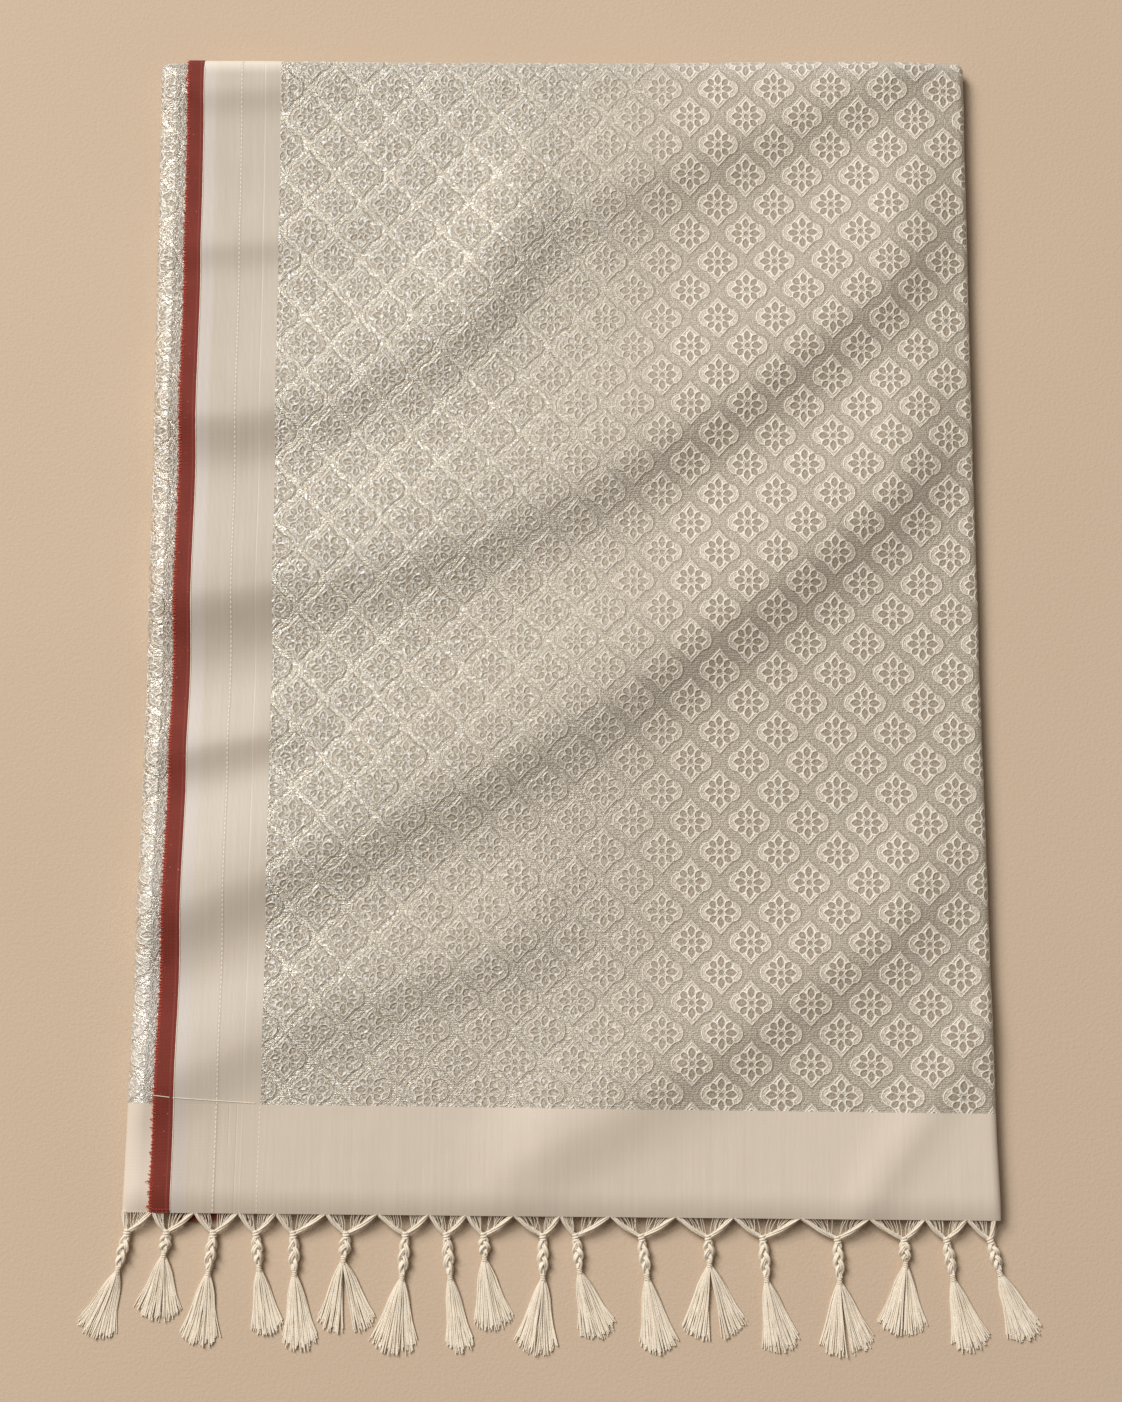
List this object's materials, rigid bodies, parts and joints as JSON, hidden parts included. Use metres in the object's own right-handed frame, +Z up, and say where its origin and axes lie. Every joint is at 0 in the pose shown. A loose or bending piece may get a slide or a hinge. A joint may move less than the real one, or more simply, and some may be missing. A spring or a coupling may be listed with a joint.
{
  "type": "folded silk sari",
  "caption": "Flat folded silk sari with a brocade field, a plain satin border and end band, a red selvedge and a knotted fringe.",
  "frame": {"origin": "middle of the packet's flat underside, on the surface that it rests on", "axes": "+X to the right across the packet, +Y along it from the fringed front to the folded rear, +Z up"},
  "size_m": [0.614, 0.8567, 0.0258],
  "materials": {
    "brocade": "silk brocade with a muted metal-thread ground and cream medallions",
    "satin": "plain cream silk satin with a soft sheen",
    "selvedge": "dark red woven selvedge, matt",
    "fringe": "loose cream silk threads, plaited and knotted"
  },
  "bodies": {
    "root": {"field_brocade": "brocade", "lower_brocade": "brocade", "folded_courses": "brocade", "border_satin": "satin", "end_band": "satin", "lower_band": "satin", "selvedge_red": "selvedge", "lower_selvedge": "selvedge", "tassel_01": "fringe", "tassel_02": "fringe", "tassel_03": "fringe", "tassel_04": "fringe", "tassel_05": "fringe", "tassel_06": "fringe", "tassel_07": "fringe", "tassel_08": "fringe", "tassel_09": "fringe", "tassel_10": "fringe", "tassel_11": "fringe", "tassel_12": "fringe", "tassel_13": "fringe", "tassel_14": "fringe", "tassel_15": "fringe", "tassel_16": "fringe", "tassel_17": "fringe", "tassel_18": "fringe"}
  },
  "joints": []
}
